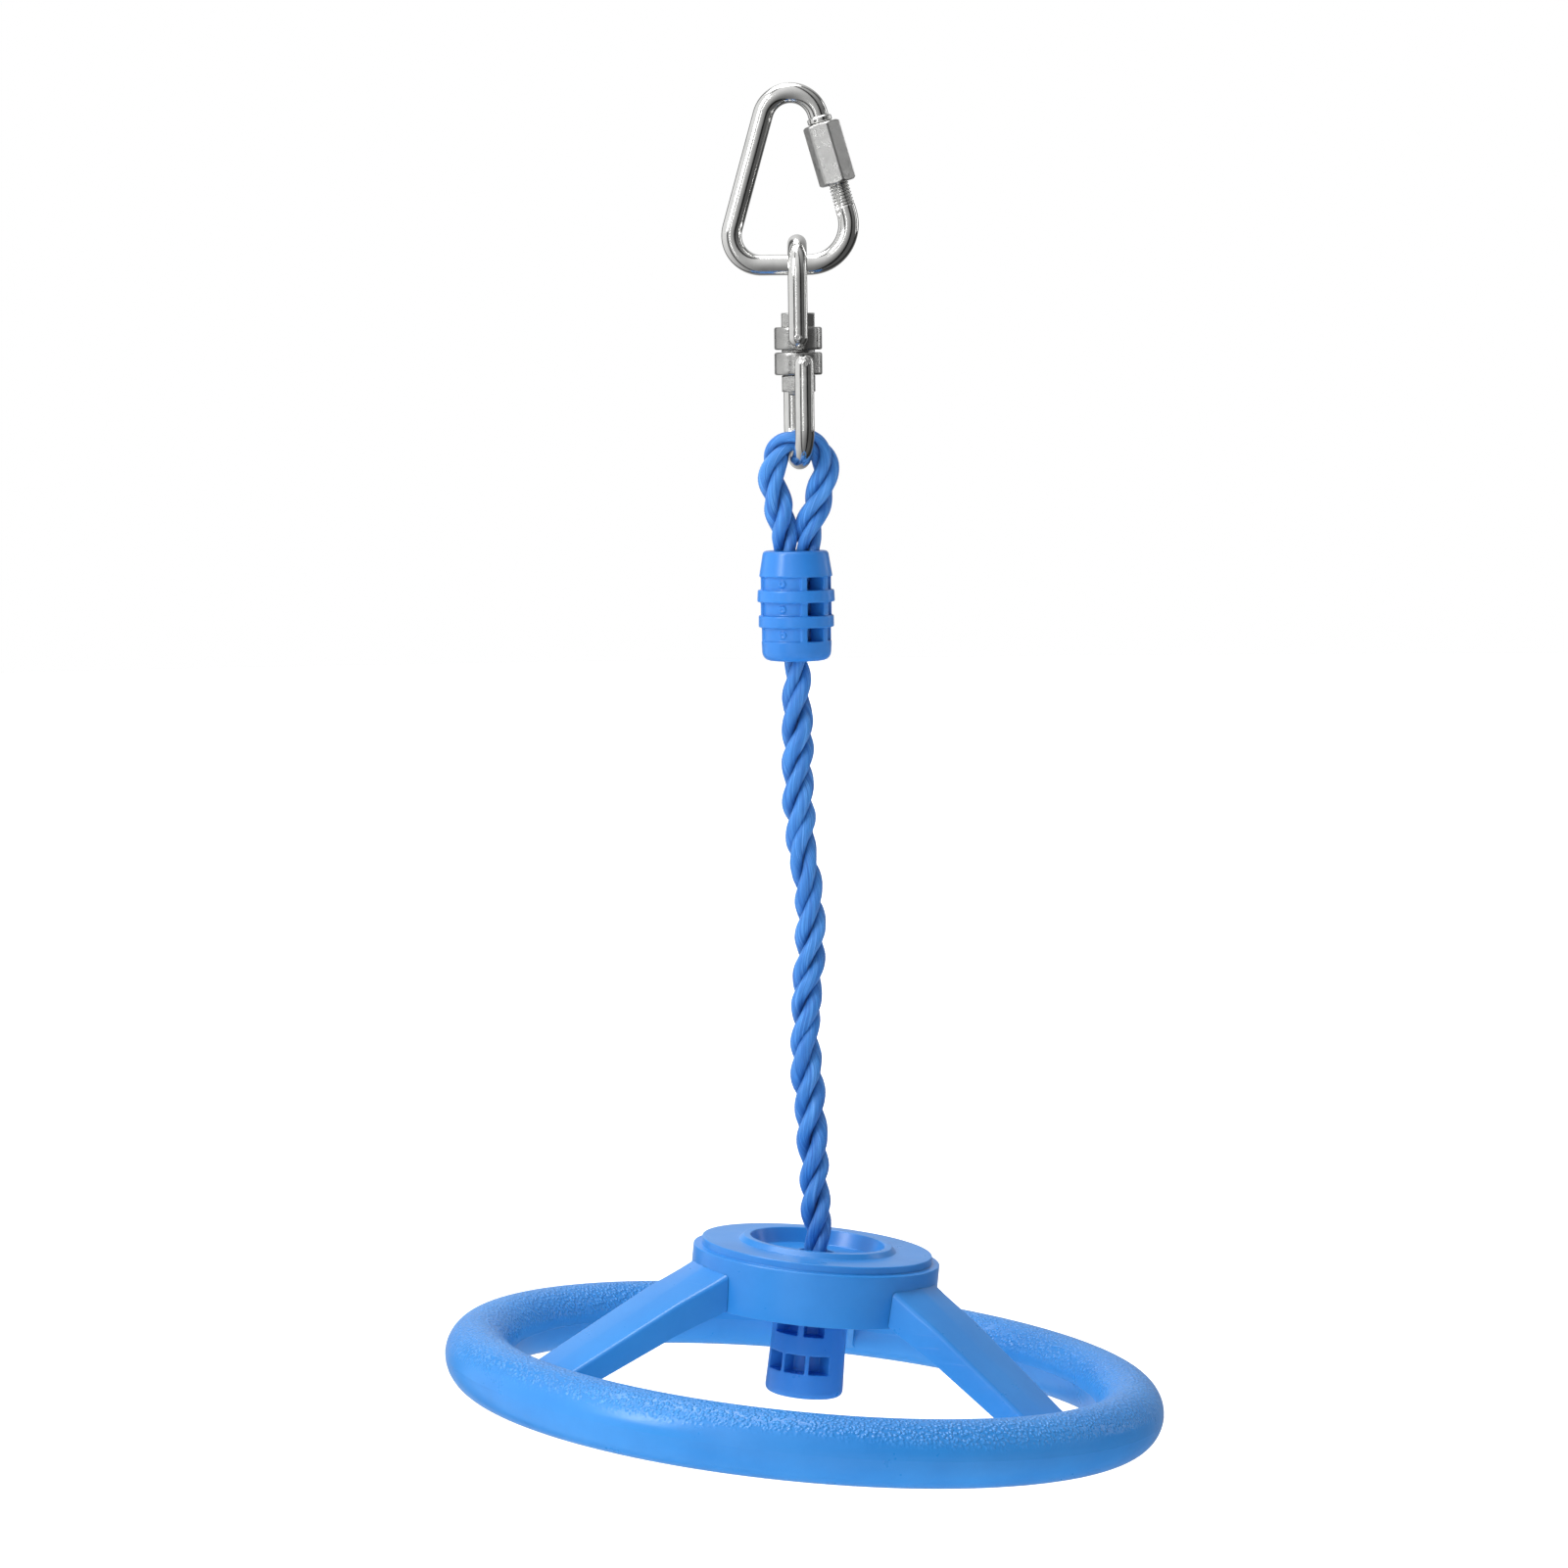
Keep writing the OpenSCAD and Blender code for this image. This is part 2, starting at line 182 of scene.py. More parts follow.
def frames(path, up):
    """Tangent and two normals at each point of a path. up is near the second normal."""
    out = []
    for i in range(len(path)):
        t = (path[min(i + 1, len(path) - 1)] - path[max(i - 1, 0)]).normalized()
        n = t.cross(up).normalized() * -1
        out.append((t, n, n.cross(t) * -1))
    return out


def spline(points, step):
    """A Catmull-Rom curve through points, cut into equal steps of about that length."""
    p = [points[0] * 2 - points[1], *points, points[-1] * 2 - points[-2]]
    fine = [points[0]]
    for i in range(1, len(p) - 2):
        for k in range(1, 25):
            t = k / 24
            fine.append(0.5 * (2 * p[i] + (p[i + 1] - p[i - 1]) * t
                               + (2 * p[i - 1] - 5 * p[i] + 4 * p[i + 1] - p[i + 2]) * t * t
                               + (3 * p[i] - p[i - 1] - 3 * p[i + 1] + p[i + 2]) * t ** 3))
    lengths = [0.0]
    for a, b in zip(fine, fine[1:]):
        lengths.append(lengths[-1] + (b - a).length)
    n = max(2, round(lengths[-1] / step))
    out, j = [], 0
    for k in range(n + 1):
        want = lengths[-1] * k / n
        while j < len(fine) - 2 and lengths[j + 1] < want:
            j += 1
        t = (want - lengths[j]) / max(lengths[j + 1] - lengths[j], 1e-9)
        out.append(fine[j].lerp(fine[j + 1], min(1.0, t)))
    return out


# ---------------------------------------------------------------- materials

def adder(tree):
    """A function that adds a node to the tree. Its sockets are given by name, with _ for
    a space, or by number as i0, i1 and so on, and take a value or another node's output."""
    def add(kind, settings=None, **sockets):
        node = tree.nodes.new("ShaderNode" + kind)
        for key, value in (settings or {}).items():
            setattr(node, key, value)
        for key, value in sockets.items():
            socket = node.inputs[int(key[1:])] if key[0] == "i" and key[1:].isdigit() \
                else node.inputs[key.replace("_", " ")]
            if isinstance(value, bpy.types.NodeSocket):
                tree.links.new(value, socket)
            else:
                socket.default_value = value
        return node

    return add


def shader(name, color, roughness, metallic=0.0, **inputs):
    """A new material, a function that adds nodes to it, and one that links its shader."""
    mat = bpy.data.materials.new(name)
    mat.use_nodes = True
    tree = mat.node_tree
    bsdf = tree.nodes["Principled BSDF"]
    bsdf.inputs["Base Color"].default_value = (*color, 1)
    bsdf.inputs["Roughness"].default_value = roughness
    bsdf.inputs["Metallic"].default_value = metallic
    for key, value in inputs.items():
        bsdf.inputs[key.replace("_", " ")].default_value = value

    def join(socket, name):
        tree.links.new(socket, bsdf.inputs[name])

    return mat, adder(tree), join


def ramp(add, value, low, high, to_low=0.0, to_high=1.0):
    """value taken from low..high to to_low..to_high, held at the ends."""
    return add("MapRange", None, Value=value, From_Min=low, From_Max=high,
               To_Min=to_low, To_Max=to_high).outputs[0]


def times(add, a, b):
    return add("Math", {"operation": "MULTIPLY"}, i0=a, i1=b).outputs[0]


def plus(add, a, b):
    return add("Math", {"operation": "ADD"}, i0=a, i1=b).outputs[0]


def blend_color(add, factor, a, b):
    node = add("Mix", {"data_type": "RGBA"}, i0=factor)
    for socket, value in ((node.inputs[6], a), (node.inputs[7], b)):
        if isinstance(value, bpy.types.NodeSocket):
            node.id_data.links.new(value, socket)
        else:
            socket.default_value = (*value, 1)
    return node.outputs[2]


def noise(add, coords, scale, detail=2.0, rough=0.5):
    return add("TexNoise", None, Vector=coords, Scale=scale, Detail=detail,
               Roughness=rough).outputs[0]


def plastic(name, light, dark, turned=0.0, grain=False):
    """Moulded plastic: colour that drifts a little, orange peel, scuffs around the axis
    of the wheel, and on the rim a pebbled grain where the attribute "grain" says so."""
    mat, add, join = shader(name, light, 0.33, Specular_IOR_Level=0.5)
    place = add("TexCoord").outputs["Object"]
    drift = noise(add, place, 22, 3)
    speckle = noise(add, place, 420, 4, 0.6)
    tone = ramp(add, plus(add, times(add, drift, 0.85), times(add, speckle, 0.15)), 0.30, 0.72)
    color = blend_color(add, tone, dark, light)
    peel = noise(add, place, 700, 2)
    rough = ramp(add, noise(add, place, 90, 4, 0.65), 0.3, 0.75, 0.27, 0.33)
    height = times(add, peel, 0.08)
    around = add("Mapping", None, Vector=place, Rotation=(0, math.radians(-turned), 0),
                 Scale=(6, 6, 1500)).outputs[0]
    lines = noise(add, around, 1.0, 3, 0.7)
    patch = ramp(add, noise(add, place, 34, 2), 0.52, 0.62)
    scuff = times(add, ramp(add, lines, 0.60, 0.68), patch)
    height = plus(add, height, times(add, scuff, 0.35))
    if grain:
        mask = add("Attribute", {"attribute_name": "grain"}).outputs["Fac"]
        warp = add("VectorMath", {"operation": "SCALE"},
                   i0=add("TexNoise", None, Vector=place, Scale=500).outputs["Color"])
        warp.inputs["Scale"].default_value = 0.0009
        moved = add("VectorMath", {"operation": "ADD"}, i0=place, i1=warp.outputs[0]).outputs[0]
        cells = add("TexVoronoi", {"feature": "SMOOTH_F1"}, Vector=moved, Scale=680,
                    Smoothness=0.25).outputs["Distance"]
        pebble = ramp(add, cells, 0.05, 0.62, 1.0, 0.0)
        height = plus(add, height, times(add, times(add, pebble, mask), 9.5))
        # painted highlight: the tops of the real pebbled grain are painted paler, which also
        # lightens the top of the rim
        color = blend_color(add, times(add, mask, ramp(add, pebble, 0.3, 0.9, 0.0, 0.9)),
                            color, tuple(min(1, c * 1.35 + 0.03) for c in light))
    join(color, "Base Color")
    join(rough, "Roughness")
    join(add("Bump", None, Strength=0.6, Distance=0.00011, Height=height).outputs[0], "Normal")
    return mat


def steel(name, tint, smooth, rough, lines=None, grime=0.25):
    """Stainless steel. lines is the scale of its brush marks along X, Y and Z."""
    mat, add, join = shader(name, (tint, tint, tint * 0.985), smooth, metallic=1.0)
    place = add("TexCoord").outputs["Object"]
    wave = noise(add, place, 130, 2)
    fine = noise(add, place, 1400, 4, 0.7)
    height = plus(add, times(add, wave, 0.55), times(add, fine, 0.12))
    worn = ramp(add, noise(add, place, 260, 5, 0.7), 0.35, 0.7, smooth, rough)
    if lines:
        brushed = add("Mapping", None, Vector=place, Scale=lines).outputs[0]
        marks = noise(add, brushed, 1.0, 4, 0.75)
        height = plus(add, height, times(add, marks, 0.5))
        worn = plus(add, worn, ramp(add, marks, 0.3, 0.7, -0.03, 0.10))
    stain = ramp(add, noise(add, place, 95, 5, 0.65), 0.42, 0.72, 0.0, grime)
    color = blend_color(add, stain, (tint, tint, tint * 0.985),
                        (tint * 0.55, tint * 0.55, tint * 0.54))
    join(color, "Base Color")
    join(worn, "Roughness")
    join(add("Bump", None, Strength=0.5, Distance=0.00008, Height=height).outputs[0], "Normal")
    return mat


def rope_fibre(name, light, dark):
    """Strands of fine filaments. The attribute "fibre" holds a place around and along."""
    mat, add, join = shader(name, light, 0.42, Sheen_Weight=0.08, Sheen_Roughness=0.4)
    place = add("Attribute", {"attribute_name": "fibre"}).outputs["Vector"]
    threads = add("Mapping", None, Vector=place, Scale=(5, 0.05, 5)).outputs[0]
    hair = noise(add, threads, 1.0, 5, 0.7)
    coarse = add("Mapping", None, Vector=place, Scale=(1.5, 0.04, 1.5)).outputs[0]
    bundle = noise(add, coarse, 1.0, 3, 0.6)
    mixed = plus(add, times(add, hair, 0.6), times(add, bundle, 0.4))
    color = blend_color(add, ramp(add, mixed, 0.38, 0.56), dark, light)
    # painted highlight: the filaments' glints, painted a paler blue where the fibre noise peaks
    painted_glint = ramp(add, mixed, 0.54, 0.66, 0.0, 0.9)
    color = blend_color(add, painted_glint, color, tuple(min(1, c * 1.3 + 0.10) for c in light))
    # the valleys between the strands, where little light comes
    outer = add("Attribute", {"attribute_name": "outer"}).outputs["Fac"]
    color = blend_color(add, ramp(add, outer, 0.45, 0.88, 0.85, 0.0), color,
                        tuple(c * 0.7 for c in dark))
    join(color, "Base Color")
    join(ramp(add, hair, 0.3, 0.7, 0.5, 0.28), "Roughness")
    join(add("Bump", None, Strength=1.0, Distance=0.0006, Height=mixed).outputs[0], "Normal")
    return mat


BLUE, DEEP_BLUE = (0.034, 0.262, 0.70), (0.020, 0.205, 0.60)
wheel_plastic = plastic("wheel_plastic", BLUE, DEEP_BLUE, turned=6)
rim_plastic = plastic("rim_plastic", BLUE, DEEP_BLUE, turned=6, grain=True)
ferrule_plastic = plastic("ferrule_plastic", (0.028, 0.215, 0.66), (0.020, 0.175, 0.56))
polished = steel("polished_steel", 0.80, 0.09, 0.20)
brushed = steel("brushed_steel", 0.66, 0.24, 0.40, lines=(900, 160, 900), grime=0.35)
turned_steel = steel("turned_steel", 0.50, 0.18, 0.36, lines=(200, 200, 2400), grime=0.6)
rope_blue = rope_fibre("rope_fibre", (0.050, 0.265, 0.72), (0.014, 0.130, 0.50))


# ---------------------------------------------------------------- rope

LAY = 41.0                  # length of one full turn of a strand
STRAND_R, HELIX_R = 2.85, 3.20
YARN_TWIST = 0.29           # turns the filaments back until they run along the rope


def laid(name, path, spread, material, start=0.0, seed=1):
    """Three strands twisted round each other along a path. spread(i, along) gives the
    rope's width and depth there, as shares of a free rope's."""
    draw = random.Random(seed)
    sides = 36
    basis = frames(path, Vector((0, 1, 0)))
    along = [0.0]
    for a, b in zip(path, path[1:]):
        along.append(along[-1] + (b - a).length)
    points, faces, fibre, outer = [], [], [], []
    for k in range(3):
        ridges = [(draw.choice((5, 7, 9, 11, 14)), draw.uniform(0, math.tau),
                   draw.uniform(0.010, 0.026)) for _ in range(6)]
        size = 1 + draw.uniform(-0.03, 0.03)
        wobble = [draw.uniform(0, math.tau) for _ in range(3)]
        first = len(points)
        for i, p in enumerate(path):
            wide, deep = spread(i, along[i])
            s = along[i] + start
            phase = math.tau * (s / LAY + k / 3) + 0.18 * math.sin(s / 13 + wobble[0]) \
                + 0.10 * math.sin(s / 5.7 + wobble[1])
            reach = HELIX_R * (1 + 0.07 * math.sin(s / 4.3 + wobble[2]))
            c, d = math.cos(phase), math.sin(phase)
            plump = size * (1 + 0.06 * math.sin(s / 5.1 + wobble[1]))
            pitch = math.tau * reach / LAY
            lean = math.hypot(1, pitch)
            t, n, m = basis[i]
            for j in range(sides):
                a = math.tau * j / sides
                turn = a + YARN_TWIST * along[i]
                r = STRAND_R * plump * (1 + sum(h * math.cos(f * turn + q)
                                                for f, q, h in ridges))
                up, side = 1.03 * r * math.cos(a), 0.98 * r * math.sin(a) / lean
                u, v = c * (reach + up) - d * side, d * (reach + up) + c * side
                points.append(p + n * (u * wide) + m * (v * deep) - t * (side * pitch))
                outer.append(math.hypot(u, v) / (HELIX_R + STRAND_R))
                fibre.append((math.cos(turn) * 1.6 + 9 * k, along[i] + 37 * k,
                              math.sin(turn) * 1.6))
        faces += grid_faces(len(path), sides, first)
        faces.append(tuple(first + j for j in reversed(range(sides))))
        faces.append(tuple(first + (len(path) - 1) * sides + j for j in range(sides)))
    ob = mesh(name, points, faces, material, merge=False,
              fibre=("FLOAT_VECTOR", "vector", [x for place in fibre for x in place]),
              outer=("FLOAT", "value", outer))
    return ob, along[-1]


def route(rows):
    """Points of the rope's centreline from rows of (x, z), as the part's source has them."""
    return [Vector((x, 0, z)) for x, z in rows]


main_route = route([
    (0, -209), (0, -216.4), (0, -226), (0, -242), (-0.3, -257), (-0.2, -272), (0.9, -288),
    (3.2, -303), (4.2, -314), (4.2, -325), (3.6, -333), (2, -350), (1.4, -365), (2.3, -381),
    (3.4, -396), (4, -411), (4.5, -427), (5.2, -439), (5.2, -449), (4.4, -457),
    (2.8, -472), (1, -489), (-0.1, -499)])
main_path = spline(main_route, 0.8)


def main_spread(i, along):
    z = main_path[i].z
    near_top = smoothstep(-232, -216, z)
    in_wheel = smoothstep(-428, -448, z)
    lump = 1 + 0.035 * math.sin(along / 23) + 0.02 * math.sin(along / 9.1 + 1)
    s = (1 - 0.24 * near_top) * (1 - 0.17 * in_wheel) * lump
    return s, s


main_rope, main_length = laid("main_rope", main_path, main_spread, rope_blue, start=6, seed=3)
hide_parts("rope_upper", "rope_bend", "rope_lower")
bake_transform(main_rope)

# One side of the loop: half the distance between its legs, height, and size of rope
loop_rows = [(3.9, -212, 0.62), (4.0, -196, 0.64), (4.1, -180, 0.68), (4.2, -173.4, 0.77),
             (4.7, -168, 0.88), (5.6, -162, 0.95), (7.3, -156, 0.97), (9.2, -150, 0.95),
             (10.1, -144, 0.93), (9.9, -139, 0.90), (8.4, -134.5, 0.84), (5.2, -131.3, 0.78)]


def loop_route():
    def point(x, z):
        return Vector((0.3 + 1.9 * smoothstep(-174, -130, z) + x, 0, z))
    left = [point(-x, z) for x, z, _ in loop_rows]
    right = [point(x, z) for x, z, _ in reversed(loop_rows)]
    return [*left, point(0, -130.0), *right]


loop_path = spline(loop_route(), 0.8)
loop_sizes = sorted((z, s) for _, z, s in loop_rows)


def loop_spread(i, along):
    p = loop_path[i]
    s = table(loop_sizes, p.z)[0]
    over = smoothstep(-137, -131, p.z)
    return s * (1 - 0.09 * over), s * (1 + 0.22 * over)


loop, loop_length = laid("rope_loop_strands", loop_path, loop_spread, rope_blue, start=9, seed=5)
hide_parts("rope_loop", "rope_core")
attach(loop, "rope_top")


# ---------------------------------------------------------------- wheel

TILT = 6
wheel_at = Matrix.Translation((-0.3, 0, -501.1)) @ Matrix.Rotation(math.radians(TILT), 4, "Y")
RIM_R, RIM_TUBE, HUB_R = 129.5, 13.0, 48.8


def make_rim():
    """The rim's tube, with the fine ridge of the mould's joint inside and outside it."""
    ridge = (-2.4, -1.6, -1, -0.5, 0.5, 1, 1.6, 2.4)
    sides = [360 * k / 84 for k in range(84)] + [c + d for c in (0, 180) for d in ridge]
    sides = sorted({round(a, 3) % 360 for a in sides})
    turns = 480
    points, grain = [], []
    for k in range(turns):
        turn = math.tau * k / turns
        for a in sides:
            inside, outside = abs(a - 180), min(a, 360 - a)
            r = RIM_TUBE - 0.04 + 0.16 * math.exp(-(inside / 0.9) ** 2) \
                + 0.05 * math.exp(-(outside / 1.1) ** 2)
            t = math.radians(a)
            x = RIM_R + r * math.cos(t)
            points.append((x * math.cos(turn), x * math.sin(turn), r * math.sin(t)))
            wander = 5 * math.sin(3 * turn + 1) + 3 * math.sin(7 * turn)
            if a <= 90:
                grain.append(smoothstep(16 + wander, 46 + wander, a))
            elif a <= 180:
                grain.append(smoothstep(6, 34, 180 - a))
            else:
                grain.append(0.0)
    return mesh("rim", points, grid_faces(turns, len(sides), wrap_rows=True), rim_plastic,
                at=wheel_at, merge=False, grain=("FLOAT", "value", grain))


def make_hub():
    outline = rounded([
        (7.0, 47.3, 0.5), (7.0, 51.2, 0.3), (8.0, 51.2, 0.4), (8.6, 50.1, 0.5),
        (24.4, 50.1, 0.5), (26.7, 55.9, 0.55), (29.4, 55.9, 0.9), (31.2, 53.9, 0.5),
        (45.55, 53.9, 0.45), (45.55, 50.8, 0.3), (48.75, 50.8, 0.5), (48.75, 30.1, 0.3),
        (46.1, 30.1, 0.35), (45.9, 47.8, 2.0), (30.5, 47.8, 1.5), (29.5, 47.3, 0.3)],
        closed=True)
    outline = densify(outline + outline[:1], 3)[:-1]
    return lathe("hub", outline, 288, wheel_plastic, at=wheel_at, closed=True)


def spoke_height(r, at_hub, at_rim):
    return at_hub + (at_rim - at_hub) * (r - 48) / 70


def make_spoke(name, angle):
    """A channel that is open below: its outline is swept from the hub to the rim, and it
    flares where it meets the rim."""
    stations = [0.2, 0.6, 1.1, 1.7, 2.4, 3.2, 5] + [5 + 4.4 * k for k in range(1, 14)]
    stations += [64, 65.4, 66.6, 67.6, 68.5, 69.2, 70, 71, 72.5]
    rings = []
    for d in stations:
        r = HUB_R + d
        top = spoke_height(r, 45.2, 1.0)
        low = spoke_height(r, 31.5, -8.0)
        half = spoke_height(r, 16.0, 14.2)
        wall, roof = 2.6, 2.8
        crown = 0.5
        outer = rounded([(-half - 0.9, low, 0.25), (-half, top, 1.9), (0, top + crown, 30),
                         (half, top, 1.9), (half + 0.9, low, 0.25),
                         (half + 0.9 - wall, low, 0.25), (half - wall, top - roof, 1.5),
                         (-half + wall, top - roof, 1.5), (-half - 0.9 + wall, low, 0.25)],
                        closed=True, steps=6)
        rings.append((r, outer))
    points = []
    for r, outer in rings:
        cz = sum(p[1] for p in outer) / len(outer)
        for y, z in outer:
            x = math.sqrt(max(r * r - y * y, 0)) if r < HUB_R + 6 else \
                r - (r - math.sqrt(r * r - y * y)) * max(0, 1 - (r - HUB_R - 6) / 12)
            gap = math.hypot(math.hypot(x, y) - RIM_R, z) - RIM_TUBE
            flare = 0.0
            if gap < 2.2:
                q = 1 - max(gap, 0.0) / 2.2
                flare = 2.2 * (1 - math.sqrt(max(0.0, 1 - q * q))) * 0.8
            side = 1 if y > 0 else -1
            if z > cz + 2 and abs(y) < 13:
                z += flare * 0.8
            elif abs(y) > 13.2:
                y += side * flare
                z += flare * 0.5 if z > cz + 2 else 0
            points.append((x, y, z))
    n = len(rings[0][1])
    faces = grid_faces(len(rings), n)
    turn = wheel_at @ Matrix.Rotation(math.radians(angle), 4, "Z")
    return mesh(name, points, faces, wheel_plastic, at=turn)


rim = make_rim()
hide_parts("wheel_rim")
hub = make_hub()
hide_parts("wheel_hub")
spokes = [make_spoke(f"spoke_{k}", a) for k, a in enumerate((87, 207, 327), 1)]
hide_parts("wheel_spokes")
for piece in (rim, hub, *spokes):
    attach(piece, "wheel")


# ---------------------------------------------------------------- ferrules

def apply_modifiers(ob):
    graph = bpy.context.evaluated_depsgraph_get()
    data = bpy.data.meshes.new_from_object(ob.evaluated_get(graph))
    ob.modifiers.clear()
    ob.data = data


def combine(ob, operation, tools):
    """Cuts the tools out of ob (DIFFERENCE) or joins them to it (UNION)."""
    for tool in tools:
        m = ob.modifiers.new("combine", "BOOLEAN")
        m.operation, m.object, m.solver = operation, tool, "EXACT"
    apply_modifiers(ob)
    for tool in tools:
        bpy.data.objects.remove(tool)


def soften(ob, voxel, rounds, material):
    """Rounds every edge as a mould does: an even mesh of that size, smoothed."""
    m = ob.modifiers.new("even", "REMESH")
    m.mode, m.voxel_size, m.use_smooth_shade = "VOXEL", voxel * MM, True
    m = ob.modifiers.new("smooth", "SMOOTH")
    m.factor, m.iterations = 0.5, rounds
    apply_modifiers(ob)
    ob.data.materials.clear()
    ob.data.materials.append(material)
    ob.data.polygons.foreach_set("use_smooth", [True] * len(ob.data.polygons))
    return ob


def wedge(r0, r1, z0, z1, angle, width, at=None):
    """A sector of a ring, centred on an angle in degrees from +X, as a cutter."""
    steps = max(4, int(width / 3))
    points = []
    for k in range(steps + 1):
        a = math.radians(angle - width / 2 + width * k / steps)
        for r, z in ((r0, z0), (r1, z0), (r1, z1), (r0, z1)):
            points.append((r * math.cos(a), r * math.sin(a), z))
    faces = grid_faces(steps + 1, 4)
    faces += [(3, 2, 1, 0), tuple(4 * steps + j for j in range(4))]
    return mesh("cutter", points, faces, ferrule_plastic, at=at)


def stadium(width, depth, z0, z1):
    """The hole for two strands side by side, as a cutter."""
    outline = []
    for side in (-1, 1):
        for k in range(13):
            a = math.radians(-90 + 180 * k / 12) + (math.pi if side < 0 else 0)
            outline.append((side * (width - depth) / 2 + depth / 2 * math.cos(a),
                            depth / 2 * math.sin(a)))
    # the two half circles run the same way round, the left one first
    n = len(outline)
    points = [(x, y, z) for z in (z0, z1) for x, y in outline]
    faces = grid_faces(2, n) + [tuple(reversed(range(n))), tuple(range(n, 2 * n))]
    return mesh("cutter", points, faces, ferrule_plastic)


def make_upper_ferrule():
    top = -173.4
    rows = [(10.0, 15.2), (19.9, 25.2), (29.8, 35.2)]
    outline = rounded([
        (0.01, 0, 0), (12.7, 0, 1.5), (14.35, -10.0, 0.4), (13.9, -10.0, 0.2),
        (13.9, -15.2, 0.2), (14.95, -15.2, 0.4), (15.2, -19.9, 0.4), (14.0, -19.9, 0.2),
        (14.0, -25.2, 0.2), (14.7, -25.2, 0.4), (14.75, -29.8, 0.4), (13.65, -29.8, 0.2),
        (13.65, -35.2, 0.2), (13.7, -35.2, 0.2), (13.35, -43.0, 3.6), (0.01, -43, 0)])
    at = Matrix.Translation((0, 0, top))
    body = lathe("upper_ferrule_shell", densify(outline, 1.2), 180, ferrule_plastic, at=at)
    tools = [stadium(16.4, 9.2, top - 50, top + 5)]
    # the small round mark of an ejector pin in each wide window
    mark_outline = [(0.01, 0), (0.01, 0.25), (0.45, 0.3), (0.7, 0.62), (1.3, 0.6), (1.6, 0)]
    marks = []
    for z0, z1 in rows:
        for turn in (0, 180):
            for a in (-55, -9):
                tools.append(wedge(5, 20, -z1 + 0.05, -z0 - 0.05, a + turn, 32.5, at))
            tools.append(wedge(13.05, 20, -z1 + 0.05, -z0 - 0.05, -122 + turn, 80, at))
            mark_at = at @ Matrix.Rotation(math.radians(-114 + turn), 4, "Z") \
                @ Matrix.Translation((12.9, 0, -(z0 + z1) / 2)) \
                @ Matrix.Rotation(math.pi / 2, 4, "Y")
            marks.append(lathe("mark", mark_outline, 20, ferrule_plastic, at=mark_at))
    combine(body, "DIFFERENCE", tools)
    combine(body, "UNION", marks)
    return soften(body, 0.26, 2, ferrule_plastic)


def make_lower_ferrule():
    outline = rounded([(0.01, -5.5, 0), (15.5, -5.5, 2.4), (14.6, 20, 20), (13.6, 46.9, 1.0),
                       (0.01, 46.9, 0)])
    body = lathe("lower_ferrule_shell", densify(outline, 1.5), 180, ferrule_plastic, at=wheel_at)
    bore = lathe("cutter", [(0.01, 1.5), (6.3, 1.5), (6.3, 50), (0.01, 50)], 48,
                 ferrule_plastic, at=wheel_at)
    tools = [bore]
    rows = [(4.6, 11.9, (-148, -109.5, -70, 32, 70.5, 110)),
            (19.5, 26.5, (-132, -83, 48, 97)),
            (34, 40.5, (-148, -109.5, -70, 32, 70.5, 110))]
    for z0, z1, angles in rows:
        for a in angles:
            width = 45 if z0 == 19.5 and a in (-132, 48) else 33
            tools.append(wedge(8.6, 20, z0, z1, a, width, wheel_at))
    combine(body, "DIFFERENCE", tools)
    return soften(body, 0.28, 3, ferrule_plastic)


upper_ferrule = make_upper_ferrule()
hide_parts("upper_ferrule")
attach(upper_ferrule, "rope_top")
lower_ferrule = make_lower_ferrule()
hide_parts("lower_ferrule")
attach(lower_ferrule, "rope_end")


# ---------------------------------------------------------------- steel

def tube(name, path, up, radius, sides, material):
    """A round bar along a path, closed at its ends. radius(i, angle) is its size at point
    i, angle 0 along the path's first normal."""
    points = []
    for i, (p, (_, n, m)) in enumerate(zip(path, frames(path, up))):
        for j in range(sides):
            a = math.tau * j / sides
            r = radius(i, a)
            points.append(p + n * (r * math.cos(a)) + m * (r * math.sin(a)))
    faces = grid_faces(len(path), sides)
    faces.append(tuple(reversed(range(sides))))
    faces.append(tuple((len(path) - 1) * sides + j for j in range(sides)))
    return mesh(name, points, faces, material)


def hex_radius(af, angle, corner=0.35):
    """Distance from a hexagon's middle to its side at an angle, with eased corners."""
    a = (angle + math.pi / 6) % (math.pi / 3) - math.pi / 6
    flat = af / 2 / math.cos(a)
    return min(flat, af / math.sqrt(3) - corner * 0.45
               + corner * 0.1 * math.cos(6 * angle))


CHAMFER = math.tan(math.radians(32))    # slope of the cone that cuts a nut's corners


def hexagon(name, af, z0, z1, bore, material, at, turn=0.0, ends=(True, True)):
    """A hexagonal nut or head, whose corners are cut by a cone at the chosen ends."""
    height = z1 - z0
    levels = [0, 0.06, 0.15, 0.3, 0.5, 0.75, 1.0, 1.4]
    levels = levels + [height / 2] + [height - x for x in reversed(levels)]
    sides = 144
    points = []
    for z in levels:
        for j in range(sides):
            a = math.tau * j / sides
            low = af / 2 - 0.25 + z / CHAMFER if ends[0] else 99
            high = af / 2 - 0.25 + (height - z) / CHAMFER if ends[1] else 99
            ease = 0.12 * (max(0, 1 - z / 0.15) + max(0, 1 - (height - z) / 0.15))
            r = min(hex_radius(af, a), low, high) - ease
            points.append((r * math.cos(a), r * math.sin(a), z0 + z))
    n = len(levels)
    faces = grid_faces(n, sides)
    for z in (z1, z0):
        for j in range(sides):
            a = math.tau * j / sides
            points.append((bore * math.cos(a), bore * math.sin(a), z))
    top, bottom = n * sides, (n + 1) * sides
    for j in range(sides):
        k = (j + 1) % sides
        faces.append(((n - 1) * sides + j, (n - 1) * sides + k, top + k, top + j))
        faces.append((k, j, bottom + j, bottom + k))
        faces.append((top + j, top + k, bottom + k, bottom + j))
    turned = at @ Matrix.Rotation(math.radians(turn), 4, "Z")
    return mesh(name, points, faces, material, at=turned)


